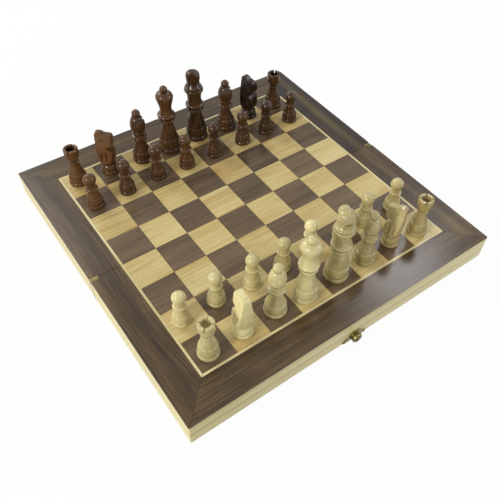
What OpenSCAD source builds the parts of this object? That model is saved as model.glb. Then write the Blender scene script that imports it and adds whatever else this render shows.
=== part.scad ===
// Folding chess box laid open as a board, with its men set up.
// Origin: on the plane of the rims, at the middle of the fold. X runs along the fold, from the
// a file to the h file; -Y is White's half with the catch, +Y is Black's half with the hasp;
// Z is up. All sizes are in millimetres.

/* [Board] */
// Side of one square of the playing field
square = 30; // [26:0.5:40]
// Width of the light stringing round the field
stringing_w = 2; // [1:0.25:4]
// Width of the walnut border outside the stringing
border_w = 27; // [20:0.5:40]
// Thickness of the veneers
veneer_t = 1; // [0.6:0.1:1.5]
// Glue line between neighbouring pieces of veneer
glue_line = 0.16; // [0.1:0.02:0.3]
// Thickness of the plywood panels under the veneers
panel_t = 4; // [3:0.5:6]

/* [Rails] */
// Height of the pine rails
rail_h = 23.6; // [20:0.2:36]
// Thickness of the pine rails
rail_t = 8; // [7:0.5:12]
// Width of the rebate in which a panel lies
rebate_w = 4; // [2:0.5:5]
// Bevel along the lower outer edges of the rails
rail_bevel = 0.8; // [0.4:0.1:0.8]
// Radius of the box's standing corners
corner_r = 1; // [0.5:0.1:3]
// Gap between the two halves when the board lies flat
fold_gap = 0.4; // [0.2:0.1:0.8]

/* [Hinges] */
// Width of a hinge along the fold
hinge_w = 7; // [6:0.5:12]
// Thickness of a hinge leaf
leaf_t = 1; // [0.8:0.1:1.2]
// Depth of a leaf's upper end below the top of the board
leaf_drop = 0.3; // [0.1:0.1:0.6]
// Width of the notch in the border over each leaf
notch_w = 2.2; // [1.4:0.1:4]
// Radius of the hinge pins
hinge_pin_r = 0.6; // [0.4:0.05:0.65]
// Radial play of a pin in the knuckles that turn on it
pin_play = 0.05; // [0.02:0.01:0.1]
// Length of the middle knuckle of a hinge
mid_knuckle = 2.6; // [1.6:0.1:3.4]
// Gap between neighbouring knuckles
knuckle_gap = 0.2; // [0.1:0.05:0.3]
// Play of the knuckles in the wood and in the other leaf
knuckle_room = 0.3; // [0.3:0.05:0.6]
// Radius of a hinge screw's head
screw_head_r = 1.9; // [1.5:0.1:2.4]
// Radius of a hinge screw's shank
screw_r = 0.9; // [0.6:0.1:1.2]
// Length of a hinge screw
screw_len = 6; // [3:0.5:6.5]

/* [Clasp] */
// Radius of the half-moon plates
plate_r = 9.6; // [8.4:0.2:12]
// Height of a plate's straight foot above the rim
plate_foot = 0.8; // [0.8:0.1:1.2]
// Thickness of the plates
plate_t = 0.8; // [0.7:0.1:1.2]
// Radius of the nail ears at the ends of the plates
ear_r = 1.8; // [1.4:0.1:2.2]
// Radius of the nail shanks
nail_r = 0.6; // [0.4:0.05:0.8]
// Radius of the nail heads
nail_head_r = 1.2; // [1:0.1:1.4]
// Length of a nail in the wood
nail_len = 5.5; // [3:0.5:6.5]
// Radius of the catch knob
knob_r = 4.5; // [3.5:0.1:4.8]
// Height of the catch knob's lower edge above the rim
knob_foot = 0.5; // [0.3:0.1:1]
// How far the catch knob stands out from its plate
knob_out = 4.4; // [3.6:0.1:5]
// Radius of the hollow in the knob's face
hollow_r = 2.6; // [1.6:0.1:3]
// Radius of the knuckles of the hasp and of its plate
hasp_knuckle_r = 1; // [0.85:0.05:1]
// Radius of the hasp's pin
hasp_pin_r = 0.5; // [0.35:0.05:0.55]
// Height of the hasp's pin above the rim
hasp_z = 1.7; // [1.6:0.1:2.4]
// Length of the hasp's own knuckle
hasp_knuckle = 5; // [3:0.2:6]
// Length of each knuckle of the hasp plate
plate_knuckle = 2.4; // [1.6:0.1:3]
// Thickness of the hasp
hasp_t = 0.8; // [0.6:0.1:1]
// Gap between the hasp and the plate under it
hasp_gap = 0.2; // [0.15:0.05:0.4]
// Gap between the hasp's eye and the knob in it
eye_gap = 0.3; // [0.2:0.05:0.6]
// Width of the ring round the hasp's eye
eye_ring = 1.5; // [1.1:0.1:2]
// Radius of the finger tab at the hasp's tip
tab_r = 2.2; // [1.8:0.1:3]
// Radius of the roll along the tab
roll_r = 0.8; // [0.5:0.05:0.9]

/* [Men] */
// Height of the kings
king_h = 74; // [64:1:90]
// Base diameter of the kings
king_d = 21; // [18:0.2:24]
// Distance across the two flats on a king's finial
king_flats = 9.4; // [8:0.2:12]
// Height of the queens
queen_h = 68; // [58:0.5:80]
// Base diameter of the queens
queen_d = 20.6; // [18:0.2:24]
// Radius of the ball on a queen
queen_ball_r = 3.6; // [3:0.1:4.4]
// Height of the bishops
bishop_h = 54.5; // [47:0.5:64]
// Base diameter of the bishops
bishop_d = 18.6; // [16:0.2:22]
// Radius of the ball on a bishop
bishop_ball_r = 3.8; // [3.2:0.1:4.4]
// Width of the cut in a bishop's head
bishop_cut = 0.9; // [0.5:0.1:1.5]
// Height of the knights
knight_h = 46; // [40:0.5:54]
// Base diameter of the knights
knight_d = 16; // [14:0.2:18.4]
// Thickness of a knight's head at the ears
ear_w = 4.8; // [4:0.2:6.4]
// Thickness of a knight's neck at the lower end of its flat sides
neck_w = 12.4; // [10:0.2:14]
// Width of the strokes cut in the sides of a knight's neck
stroke_w = 1.5; // [0.8:0.1:2]
// Depth of those strokes
stroke_d = 1.3; // [0.9:0.1:1.8]
// Radius of a knight's eye
eye_r = 1; // [0.6:0.1:1.4]
// Height of the rooks
rook_h = 38.5; // [33:0.5:45]
// Base diameter of the rooks
rook_d = 17.2; // [15:0.2:20]
// Radius of the hollow in a rook's head
rook_hollow_r = 3.7; // [3:0.1:4.1]
// Depth of the hollow in a rook's head
rook_hollow_d = 5.8; // [4.2:0.2:7]
// Width of the slots in a rook's rim
slot_w = 1.3; // [0.8:0.1:2]
// Depth of those slots
slot_d = 3.6; // [2:0.2:4]
// Height of the pawns
pawn_h = 34.5; // [30:0.5:41]
// Base diameter of the pawns
pawn_d = 15.2; // [13:0.2:17]
// Radius of the ball heads of the pawns
pawn_ball_r = 5.5; // [4.8:0.1:6.2]

/* [Hidden] */
$fn = 96;
seam = fold_gap / 2;
field = 4 * square;
string_out = field + stringing_w;
half_w = string_out + border_w;
panel_z = rail_h - panel_t;
top_z = rail_h + veneer_t;
barrel_r = seam + leaf_t;
end_knuckle = (hinge_w - mid_knuckle) / 2 - knuckle_gap;
leaf_h = top_z - leaf_drop;
screw_zs = [rail_h * 0.3, rail_h * 0.7];
knob_z = knob_foot + knob_r;
pivot_out = plate_t + hasp_gap + hasp_t / 2;
arm = hasp_z + knob_z;
eye = knob_r + eye_gap;
tip = arm + eye + eye_ring + 0.2;
ear_x = plate_r + 0.3;
knob_shank_r = 1.2;
pine = "#d9c48e";
walnut = "#4a3524";
maple = "#cfa56a";
ply = "#b9935c";
brass = "#b59a45";
boxwood = "#ddd08c";
rosewood = "#3a140c";

// Each man: name, kind, file 0-7, rank 0-7, how far off the square's centre it is set down
// in X and Y on squares of 30, and the way it is turned.
MEN = [
    ["white_rook_a1", "R", 0, 0, -2.1, -2.6, 0],
    ["white_knight_b1", "N", 1, 0, -1.5, -2, -8],
    ["white_bishop_c1", "B", 2, 0, -0.4, 0, 50],
    ["white_queen_d1", "Q", 3, 0, -2.9, -1.8, 0],
    ["white_king_e1", "K", 4, 0, 0.2, 0.1, -14],
    ["white_bishop_f1", "B", 5, 0, 0.2, -0.8, 30],
    ["white_knight_g1", "N", 6, 0, 0.4, 0.6, 20],
    ["white_rook_h1", "R", 7, 0, -1.8, -3.2, 0],
    ["white_pawn_a2", "P", 0, 1, -3.6, 2.3, 0],
    ["white_pawn_b2", "P", 1, 1, -2.5, 2.7, 0],
    ["white_pawn_c2", "P", 2, 1, -0.8, 0.1, 0],
    ["white_pawn_d2", "P", 3, 1, -0.5, 0.6, 0],
    ["white_pawn_e2", "P", 4, 1, -2.2, 2.4, 0],
    ["white_pawn_f2", "P", 5, 1, 0.6, -0.2, 0],
    ["white_pawn_g2", "P", 6, 1, -2.9, 0.5, 0],
    ["white_pawn_h2", "P", 7, 1, 0.4, 0.1, 0],
    ["black_pawn_a7", "P", 0, 6, -3, -1.3, 0],
    ["black_pawn_b7", "P", 1, 6, -2, -1.5, 0],
    ["black_pawn_c7", "P", 2, 6, -0.3, 0.6, 0],
    ["black_pawn_d7", "P", 3, 6, -0.7, -1.8, 0],
    ["black_pawn_e7", "P", 4, 6, -0.5, -2.3, 0],
    ["black_pawn_f7", "P", 5, 6, 1.8, -2.2, 0],
    ["black_pawn_g7", "P", 6, 6, 0, -1.4, 0],
    ["black_pawn_h7", "P", 7, 6, 0.8, 0.1, 0],
    ["black_rook_a8", "R", 0, 7, -2.5, 3.4, 0],
    ["black_knight_b8", "N", 1, 7, -2.6, 1.6, -145],
    ["black_bishop_c8", "B", 2, 7, 0, -0.7, -70],
    ["black_queen_d8", "Q", 3, 7, -1.1, -1.2, 0],
    ["black_king_e8", "K", 4, 7, -0.3, 0, -33],
    ["black_bishop_f8", "B", 5, 7, 1.5, -3.3, -80],
    ["black_knight_g8", "N", 6, 7, -0.1, -1.7, -168],
    ["black_rook_h8", "R", 7, 7, 1.1, -0.9, 0]
];

BOX = [
    "near_front_rail", "near_side_rails", "near_fold_rail", "near_panel",
    "near_border", "near_stringing", "near_dark_squares", "near_light_squares",
    "far_back_rail", "far_side_rails", "far_fold_rail", "far_panel",
    "far_border", "far_stringing", "far_dark_squares", "far_light_squares",
    "near_hinge_leaves", "far_hinge_leaves", "hinge_pins",
    "near_hinge_screws", "far_hinge_screws",
    "catch_plate", "catch_knob", "catch_nails",
    "hasp_plate", "hasp", "hasp_pin", "hasp_nails"
];

// The far half is the near half mirrored across the fold.
module far_side() {
    mirror([0, 1, 0]) children();
}

// Plan of the near half, with its two standing corners rounded.
module half_plan() {
    translate([-half_w, corner_r - half_w])
        square([2 * half_w, half_w - corner_r - seam]);
    translate([corner_r - half_w, -half_w])
        square([2 * (half_w - corner_r), 2 * corner_r]);
    for (s = [-1, 1])
        translate([s * (half_w - corner_r), corner_r - half_w])
            circle(corner_r);
}

// Section of a rail: outer face at 0, bevel below, rebate for the panel above.
module rail_section() {
    polygon([
        [rail_bevel, 0],
        [rail_t, 0],
        [rail_t, panel_z],
        [rail_t - rebate_w, panel_z],
        [rail_t - rebate_w, rail_h],
        [0, rail_h],
        [0, rail_bevel]
    ]);
}

// A rail lying along X with its outer face at Y 0, mitred at both ends.
module rail(len) {
    intersection() {
        translate([-len / 2, 0, 0])
            rotate([90, 0, 90])
                linear_extrude(len)
                    rail_section();
        linear_extrude(rail_h)
            polygon([
                [-len / 2, 0],
                [len / 2, 0],
                [len / 2 - rail_t, rail_t],
                [rail_t - len / 2, rail_t]
            ]);
    }
}

// The room let into the fold walls for the leaves, the knuckles and the screws.
module hinge_room() {
    for (s = [-1, 1])
        translate([s * (half_w - hinge_w / 2), 0, 0]) {
            translate([s > 0 ? -hinge_w / 2 : -hinge_w / 2 - 1, -seam - leaf_t, -1])
                cube([hinge_w + 1, leaf_t + 1, rail_h + 2]);
            translate([s > 0 ? -hinge_w / 2 : -hinge_w / 2 - 1, 0, 0])
                rotate([0, 90, 0])
                    cylinder(r = barrel_r + knuckle_room, h = hinge_w + 1);
            for (z = screw_zs)
                translate([0, -seam, z])
                    rotate([90, 0, 0])
                        cylinder(r = screw_r, h = screw_len);
        }
}

// Places the two nails of a plate on the near front wall, pointing out of the wall.
module at_nails() {
    for (s = [-1, 1])
        translate([s * ear_x, -half_w, plate_foot + ear_r])
            rotate([90, 0, 0])
                children();
}

// Nail holes, and the hole for the knob's shank where there is a knob.
module clasp_holes(knob) {
    at_nails()
        translate([0, 0, -nail_len])
            cylinder(r = nail_r, h = nail_len + 1);
    if (knob)
        translate([0, -half_w, knob_z])
            rotate([90, 0, 0])
                translate([0, 0, -nail_len])
                    cylinder(r = knob_shank_r, h = nail_len + 1);
}

module front_rail(knob) {
    color(pine)
        difference() {
            intersection() {
                translate([0, -half_w, 0])
                    rail(2 * half_w);
                linear_extrude(rail_h)
                    half_plan();
            }
            clasp_holes(knob);
        }
}

module side_rails() {
    color(pine)
        difference() {
            intersection() {
                for (s = [-1, 1])
                    translate([s * half_w, -(half_w + seam) / 2, 0])
                        rotate(s * 90)
                            rail(half_w - seam);
                linear_extrude(rail_h)
                    half_plan();
            }
            hinge_room();
        }
}

module fold_rail() {
    color(pine)
        difference() {
            translate([0, -seam, 0])
                rotate(180)
                    rail(2 * half_w);
            hinge_room();
        }
}

module panel() {
    inset = rail_t - rebate_w;
    color(ply)
        translate([inset - half_w, inset - half_w, panel_z])
            cube([2 * (half_w - inset), half_w - seam - 2 * inset, panel_t]);
}

// Plan of a mitred frame on three sides of the near half.
module frame_plan(outer, inner) {
    difference() {
        translate([-outer, -outer])
            square([2 * outer, outer - seam]);
        translate([-inner, -inner])
            square([2 * inner, inner + 1]);
        for (s = [-1, 1])
            translate([s * inner, -inner])
                rotate(s * 45 - 90)
                    translate([-1, -glue_line / 2])
                        square([2 * outer, glue_line]);
    }
}

module border() {
    color(walnut)
        difference() {
            translate([0, 0, rail_h])
                linear_extrude(veneer_t)
                    intersection() {
                        frame_plan(half_w, string_out);
                        half_plan();
                    }
            for (s = [-1, 1])
                translate([s * half_w - hinge_w - knuckle_gap, -seam - notch_w, rail_h - 1])
                    cube([2 * (hinge_w + knuckle_gap), notch_w + 1, veneer_t + 2]);
        }
}

module stringing() {
    color(maple)
        translate([0, 0, rail_h])
            linear_extrude(veneer_t)
                frame_plan(string_out, field);
}

// The squares of one colour on a half: odd is 0 for the colour of the outer left corner.
module squares(odd) {
    for (i = [0:7])
        for (j = [0:3])
            if ((i + j) % 2 == odd)
                translate([
                    (i - 4) * square + glue_line / 2,
                    (j - 4) * square + glue_line / 2,
                    rail_h
                ])
                    cube([
                        square - glue_line,
                        square - glue_line / 2 - max(seam * floor(j / 3), glue_line / 2),
                        veneer_t
                    ]);
}

// Knuckles of one hinge, as pairs of start and end along the hinge.
near_knuckles = [[0, end_knuckle], [hinge_w - end_knuckle, hinge_w]];
far_knuckles = [[end_knuckle + knuckle_gap, hinge_w - end_knuckle - knuckle_gap]];

module barrel(spans, r, more) {
    for (k = spans)
        translate([k[0] - more, 0, 0])
            rotate([0, 90, 0])
                cylinder(r = r, h = k[1] - k[0] + 2 * more);
}

// One leaf with its knuckles, at the -X end of the fold, on the near half.
module leaf(own, other, play) {
    difference() {
        union() {
            translate([0, -barrel_r, 0])
                cube([hinge_w, leaf_t, leaf_h]);
            barrel(own, barrel_r, 0);
        }
        barrel(other, barrel_r + knuckle_room, knuckle_gap);
        translate([-1, 0, 0])
            rotate([0, 90, 0])
                cylinder(r = hinge_pin_r + play, h = hinge_w + 2);
        for (z = screw_zs)
            translate([hinge_w / 2, -seam, z])
                screw_shape();
    }
}

// A screw driven into the near half: the head fills the leaf's countersink.
module screw_shape() {
    rotate([90, 0, 0]) {
        cylinder(r1 = screw_head_r, r2 = screw_r, h = leaf_t);
        cylinder(r = screw_r, h = screw_len);
    }
}

module leaves(own, other, play) {
    color(brass)
        for (s = [0, 1])
            mirror([s, 0, 0])
                translate([-half_w, 0, 0])
                    leaf(own, other, play);
}

module hinge_pins() {
    color(brass)
        for (s = [0, 1])
            mirror([s, 0, 0])
                translate([-half_w, 0, 0])
                    rotate([0, 90, 0])
                        cylinder(r = hinge_pin_r, h = hinge_w);
}

module screws() {
    color(brass)
        for (s = [0, 1], z = screw_zs)
            mirror([s, 0, 0])
                translate([hinge_w / 2 - half_w, -seam, z])
                    difference() {
                        screw_shape();
                        translate([-screw_head_r, -0.4, -0.25])
                            cube([2 * screw_head_r, 1, 0.5]);
                    }
}

// Half-moon with two nail ears, drawn upright.
module plate_outline() {
    intersection() {
        translate([0, plate_foot - 0.4])
            circle(plate_r);
        translate([-plate_r, plate_foot])
            square([2 * plate_r, plate_r]);
    }
    for (s = [-1, 1])
        translate([s * ear_x, plate_foot + ear_r])
            circle(ear_r);
}

module wall_plate() {
    translate([0, -half_w, 0])
        rotate([90, 0, 0])
            linear_extrude(plate_t)
                plate_outline();
}

module catch_plate() {
    color(brass)
        difference() {
            wall_plate();
            clasp_holes(true);
        }
}

// The knob is turned: a groove behind the head, a hollow with a small pip in the face.
module catch_knob() {
    face = plate_t + knob_out;
    color(brass)
        translate([0, -half_w, knob_z])
            rotate([90, 0, 0])
                rotate_extrude()
                    polygon([
                        [0, -nail_len],
                        [knob_shank_r, -nail_len],
                        [knob_shank_r, plate_t],
                        [knob_r, plate_t],
                        [knob_r, plate_t + 0.8],
                        [knob_r - 0.5, plate_t + 1.1],
                        [knob_r - 0.5, plate_t + 1.6],
                        [knob_r, plate_t + 2],
                        [knob_r, face - 1.4],
                        [knob_r - 0.15, face - 0.8],
                        [knob_r - 0.5, face - 0.3],
                        [knob_r - 1, face],
                        [hollow_r + 0.2, face],
                        [hollow_r, face - 0.2],
                        [hollow_r - 0.3, face - 1.6],
                        [0.9, face - 1.6],
                        [0.8, face - 0.9],
                        [0.4, face - 0.5],
                        [0, face - 0.4]
                    ]);
}

module nails() {
    color(brass)
        at_nails()
            rotate_extrude()
                polygon([
                    [0, -nail_len],
                    [nail_r, -nail_len],
                    [nail_r, plate_t],
                    [nail_head_r, plate_t],
                    [nail_head_r - 0.1, plate_t + 0.25],
                    [nail_head_r * 0.6, plate_t + 0.5],
                    [0, plate_t + 0.6]
                ]);
}

// Puts things drawn along X at Y 0 on the axis of the hasp of the near front wall.
module at_pivot() {
    translate([0, -half_w - pivot_out, hasp_z])
        children();
}

module hasp_plate() {
    room = hasp_knuckle / 2 + knuckle_gap;
    color(brass)
        difference() {
            union() {
                wall_plate();
                for (s = [-1, 1])
                    at_pivot()
                        translate([s * (room + plate_knuckle / 2), 0, 0])
                            rotate([0, 90, 0])
                                cylinder(r = hasp_knuckle_r, h = plate_knuckle, center = true);
            }
            clasp_holes(false);
            translate([-room, -half_w - 3, -1])
                cube([2 * room, 4, hasp_z + hasp_knuckle_r + knuckle_room + 1]);
            at_pivot()
                rotate([0, 90, 0])
                    cylinder(r = hasp_pin_r, h = 40, center = true);
        }
}

module hasp_pin() {
    color(brass)
        at_pivot()
            rotate([0, 90, 0])
                cylinder(
                    r = hasp_pin_r,
                    h = hasp_knuckle + 2 * (knuckle_gap + plate_knuckle),
                    center = true
                );
}

// The hasp, standing up against its own wall: knuckle, eye, finger tab and its roll.
module hasp() {
    color(brass)
        at_pivot()
            difference() {
                union() {
                    translate([0, hasp_t / 2, 0])
                        rotate([90, 0, 0])
                            linear_extrude(hasp_t)
                                hasp_outline();
                    rotate([0, 90, 0])
                        cylinder(r = hasp_knuckle_r, h = hasp_knuckle, center = true);
                    translate([0, 0, tip + tab_r * 0.5])
                        rotate([0, 90, 0])
                            cylinder(r = roll_r, h = tab_r * 1.2, center = true);
                }
                rotate([0, 90, 0])
                    cylinder(r = hasp_pin_r + pin_play, h = 40, center = true);
                for (s = [-1, 1])
                    translate([s * (hasp_knuckle / 2 + 10), 0, 0])
                        rotate([0, 90, 0])
                            cylinder(r = hasp_knuckle_r + knuckle_room, h = 20, center = true);
            }
}

module hasp_outline() {
    difference() {
        union() {
            translate([0, arm])
                circle(eye + eye_ring);
            translate([-hasp_knuckle / 2, 0])
                square([hasp_knuckle, arm]);
            translate([0, tip])
                circle(tab_r);
        }
        translate([0, arm])
            circle(eye);
        translate([-20, -20])
            square([40, 20]);
    }
}

// Points of a cubic curve from p to q with the handles a and b, without its first point.
function curve(p, a, b, q, n) = [
    for (i = [1:n])
        let (t = i / n, u = 1 - t)
            u * u * u * p + 3 * u * u * t * a + 3 * u * t * t * b + t * t * t * q
];

// A list of points widened by w and heightened by h.
function scaled(points, w, h) = [for (p = points) [p[0] * w, p[1] * h]];

// The foot of a man of base radius r: a roll, then a groove under the bell.
function foot(r, roll) =
    let (c = 0.056 * r, v = 0.1 * r)
        concat(
            [[0, 0], [r - c, 0], [r, c], [r, roll - 2 * v]],
            curve([r, roll - 2 * v], [r, roll - v], [r - 0.5 * v, roll - 0.2 * v], [r - v, roll], 4),
            [[r - 1.3 * v, roll + 0.2 * v], [r - 1.3 * v, roll + 0.5 * v]]
        );

// A turned bead: a disc of height h whose rim is a half round.
module bead(r, z, h) {
    translate([0, z - h / 2])
        square([r - h / 2, h]);
    translate([r - h / 2, z])
        circle(h / 2);
}

// Half a disc to the right of the axis, for a turned ball.
module ball(r, z) {
    intersection() {
        translate([0, z])
            circle(r);
        translate([0, z - r])
            square([r, 2 * r]);
    }
}

module king() {
    w = king_d / 21;
    h = king_h / 74;
    difference() {
        rotate_extrude() {
            polygon(concat(
                foot(king_d / 2, 4.4 * h),
                scaled(concat(
                    [[9.9, 5.4]],
                    curve([9.9, 5.4], [10.2, 8.6], [9.8, 11.4], [9.3, 13.4], 5),
                    [[9, 13.6]],
                    curve([9, 13.6], [8.6, 18], [7, 24], [5.5, 30.4], 8),
                    [[6, 32.8], [6.9, 35.8], [6.9, 39.8]],
                    curve([6.9, 39.8], [6.4, 42], [6.2, 45], [6.5, 48.4], 6),
                    curve([6.5, 48.4], [6.7, 50.6], [7.6, 52.6], [8.6, 53.4], 5),
                    [[8.8, 54.2], [8.7, 55.4], [8.2, 56.2], [7, 56.5], [7, 58.4]],
                    curve([7, 58.4], [6.6, 59.4], [6, 60.2], [5.4, 60.8], 4),
                    [[5.9, 61.4], [6, 62.4], [5.6, 62.8]],
                    curve([5.6, 62.8], [6.2, 64.6], [6.6, 66.4], [6.4, 69.4], 5),
                    curve([6.4, 69.4], [6.2, 71.6], [5.2, 73.6], [0, 74], 8)
                ), w, h)
            ));
            bead(6.8 * w, 31.6 * h, 1.8 * h);
            bead(8.1 * w, 34.4 * h, 2.4 * h);
            bead(8.6 * w, 38.2 * h, 3 * h);
            bead(7.9 * w, 57.4 * h, 1.8 * h);
        }
        for (a = [0, 180])
            rotate(a)
                translate([-20, king_flats / 2, 62.8 * h])
                    cube([40, 20, 20 * h]);
    }
}

module queen() {
    w = queen_d / 20.6;
    h = queen_h / 68;
    rotate_extrude() {
        polygon(concat(
            foot(queen_d / 2, 4.1 * h),
            scaled(concat(
                [[9.7, 5]],
                curve([9.7, 5], [9.95, 8], [9.5, 11], [9, 13.2], 5),
                [[8.75, 13.4]],
                curve([8.75, 13.4], [8.5, 17.4], [6.2, 22.6], [4.9, 30], 8),
                [[5.6, 32.6], [6.2, 35.8], [6.2, 40.2]],
                curve([6.2, 40.2], [5.4, 43], [5.2, 45], [5.6, 47.4], 6),
                curve([5.6, 47.4], [6.2, 50.6], [7.6, 54.2], [7.9, 56.8], 6),
                [[7.9, 58], [7.4, 59.4]],
                curve([7.4, 59.4], [6.8, 60.8], [5, 62.1], [3.2, 62.5], 5),
                [[0, 62.5]]
            ), w, h)
        ));
        bead(6.2 * w, 31.4 * h, 1.8 * h);
        bead(7.7 * w, 34.4 * h, 2.4 * h);
        bead(8.3 * w, 38.4 * h, 3 * h);
        ball(queen_ball_r, queen_h - queen_ball_r);
    }
}

module bishop() {
    w = bishop_d / 18.6;
    h = bishop_h / 54.5;
    difference() {
        rotate_extrude() {
            polygon(concat(
                foot(bishop_d / 2, 3.8 * h),
                scaled(concat(
                    [[8.7, 4.7]],
                    curve([8.7, 4.7], [8.9, 7.4], [8.6, 9.6], [7.9, 11.2], 5),
                    [[7.6, 11.4]],
                    curve([7.6, 11.4], [6.9, 14], [4.9, 17.6], [4.2, 23], 8),
                    [[5.2, 25.4], [4.9, 28.5], [4.8, 31.2], [5.2, 33.3]],
                    curve([5.2, 33.3], [7.7, 36.8], [7, 41.6], [5.6, 45], 9),
                    curve([5.6, 45], [5.1, 46.4], [4.4, 47.4], [3.3, 48.2], 4),
                    [[0, 48.2]]
                ), w, h)
            ));
            bead(6.1 * w, 24.4 * h, 1.8 * h);
            bead(6.9 * w, 27.1 * h, 2.4 * h);
            bead(5.9 * w, 32.3 * h, 1.8 * h);
            ball(bishop_ball_r, bishop_h - bishop_ball_r);
        }
        translate([0, 0, 41.5 * h])
            rotate([0, -44, 0])
                translate([-0.8, -10, -bishop_cut / 2])
                    cube([12, 20, bishop_cut]);
    }
}

module rook() {
    w = rook_d / 17.2;
    h = rook_h / 38.5;
    floor_z = rook_h - rook_hollow_d;
    difference() {
        rotate_extrude() {
            polygon(concat(
                foot(rook_d / 2, 3.8 * h),
                scaled(concat(
                    [[8.05, 4.7]],
                    curve([8.05, 4.7], [8.2, 7.5], [7.45, 10], [7, 12], 5),
                    [[6.75, 12.2]],
                    curve([6.75, 12.2], [6.4, 15], [4.4, 19], [3.95, 23.4], 8),
                    [[4.1, 25.2]],
                    curve([4.1, 25.2], [4.4, 28], [6, 28.6], [6.3, 31.6], 6)
                ), w, h),
                [
                    [6.4 * w, rook_h - 0.6],
                    [5.9 * w, rook_h],
                    [rook_hollow_r + 0.4, rook_h],
                    [rook_hollow_r, rook_h - 0.4],
                    [rook_hollow_r - 0.1, floor_z + 0.6],
                    [rook_hollow_r - 0.7, floor_z],
                    [1, floor_z],
                    [0.7, floor_z + 0.8],
                    [0, floor_z + 1.1]
                ]
            ));
            bead(4.8 * w, 24.4 * h, 1.4 * h);
        }
        for (a = [45, 135])
            rotate(a)
                translate([-slot_w / 2, -20, rook_h - slot_d])
                    cube([slot_w, 40, slot_d + 1]);
    }
}

module pawn() {
    w = pawn_d / 15.2;
    h = pawn_h / 34.5;
    rotate_extrude() {
        polygon(concat(
            foot(pawn_d / 2, 3 * h),
            scaled(concat(
                [[7.1, 3.9]],
                curve([7.1, 3.9], [7.25, 6.4], [6.75, 8.6], [6.15, 10.1], 5),
                [[5.85, 10.3]],
                curve([5.85, 10.3], [5.6, 11.8], [4.5, 13.8], [4.1, 15.8], 5),
                [[4.1, 18], [4.4, 20.5]],
                curve([4.4, 20.5], [4, 21.6], [4, 22.6], [4.2, 24.2], 4),
                [[3.9, 25.1], [0, 25.1]]
            ), w, h)
        ));
        bead(5.5 * w, 19.3 * h, 2 * h);
        ball(pawn_ball_r, pawn_h - pawn_ball_r);
    }
}

// Profile of a knight seen from its right, nose towards +Y, drawn above the waist.
module knight_profile(w, h) {
    polygon(scaled([
        [-5.6, 9.8],
        [-6.6, 12],
        [-7.2, 15],
        [-7.4, 20],
        [-7.3, 27],
        [-7.2, 33],
        [-7.2, 39],
        [-7.1, 43],
        [-6.4, 45],
        [-5.2, 45.8],
        [-4, 46],
        [-2.4, 46],
        [-1.2, 45.8],
        [-0.4, 45.4],
        [0.4, 44.2],
        [1.6, 43.8],
        [6.8, 43.3],
        [8.4, 42.6],
        [9, 41],
        [8.6, 34.6],
        [8, 32.6],
        [4.4, 31.5],
        [2.2, 30.8],
        [2.2, 29.8],
        [4.2, 28.6],
        [6.4, 26.4],
        [7.8, 23],
        [8.3, 19],
        [8, 15.6],
        [7, 12.6],
        [5.6, 9.8]
    ], w, h));
}

// Knight: a turned blank, cut to the profile and then tapered from both sides.
module knight() {
    w = knight_d / 16;
    h = knight_h / 46;
    rotate_extrude()
        polygon(concat(
            foot(knight_d / 2, 3.2 * h),
            scaled(concat(
                [[7.4, 4.1]],
                curve([7.4, 4.1], [7.5, 6.4], [6.8, 8.2], [5.6, 9.6], 5),
                [[5.5, 10.4], [0, 10.6]]
            ), w, h)
        ));
    difference() {
        intersection() {
            rotate_extrude()
                polygon(scaled(concat(
                    [[0, 9.8], [5.6, 9.8]],
                    curve([5.6, 9.8], [6.8, 11.2], [8.8, 14], [8.9, 18], 6),
                    [[9.2, 26], [9.3, 40], [8, 46], [0, 46]]
                ), w, h));
            rotate([90, 0, 90])
                linear_extrude(40, center = true)
                    knight_profile(w, h);
            rotate([90, 0, 0])
                linear_extrude(40, center = true)
                    for (s = [-1, 1])
                        polygon([
                            [0, 9.8 * h],
                            [s * (neck_w / 2 + 3.5), 9.8 * h],
                            [s * (neck_w / 2 + 3), 11 * h],
                            [s * (neck_w / 2 + 1.6), 12.6 * h],
                            [s * (neck_w / 2 + 0.3), 15 * h],
                            [s * neck_w / 2, 18 * h],
                            [s * (neck_w + ear_w) / 4, 33 * h],
                            [s * ear_w / 2, knight_h],
                            [0, knight_h]
                        ]);
        }
        for (s = [-1, 1]) {
            for (y = [-2.6, 1.1])
                translate([s * neck_w / 2, y * w, 20 * h])
                    cube([2 * stroke_d, stroke_w, 9 * h], center = true);
            translate([s * (ear_w / 2 + 1.6), -1.3 * w, 39.4 * h])
                rotate([0, 90, 0])
                    cylinder(r = eye_r, h = 3, center = true);
        }
    }
}

// A man on its square.
module man(m) {
    step = square / 30;
    color(m[3] < 4 ? boxwood : rosewood)
        translate([(m[2] - 3.5) * square + m[4] * step, (m[3] - 3.5) * square + m[5] * step, top_z])
            rotate(m[6]) {
                if (m[1] == "K") king();
                if (m[1] == "Q") queen();
                if (m[1] == "B") bishop();
                if (m[1] == "N") knight();
                if (m[1] == "R") rook();
                if (m[1] == "P") pawn();
            }
}

front_rail(true);  // near_front_rail
side_rails();  // near_side_rails
fold_rail();  // near_fold_rail
panel();  // near_panel
border();  // near_border
stringing();  // near_stringing
color(walnut) squares(0);  // near_dark_squares
color(maple) squares(1);  // near_light_squares
far_side() front_rail(false);  // far_back_rail
far_side() side_rails();  // far_side_rails
far_side() fold_rail();  // far_fold_rail
far_side() panel();  // far_panel
far_side() border();  // far_border
far_side() stringing();  // far_stringing
far_side() color(walnut) squares(1);  // far_dark_squares
far_side() color(maple) squares(0);  // far_light_squares
leaves(near_knuckles, far_knuckles, 0);  // near_hinge_leaves
far_side() leaves(far_knuckles, near_knuckles, pin_play);  // far_hinge_leaves
hinge_pins();
screws();  // near_hinge_screws
far_side() screws();  // far_hinge_screws
catch_plate();
catch_knob();
nails();  // catch_nails
far_side() hasp_plate();
far_side() hasp();
far_side() hasp_pin();
far_side() nails();  // hasp_nails
for (m = MEN)
    man(m);
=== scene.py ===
import math

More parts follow.
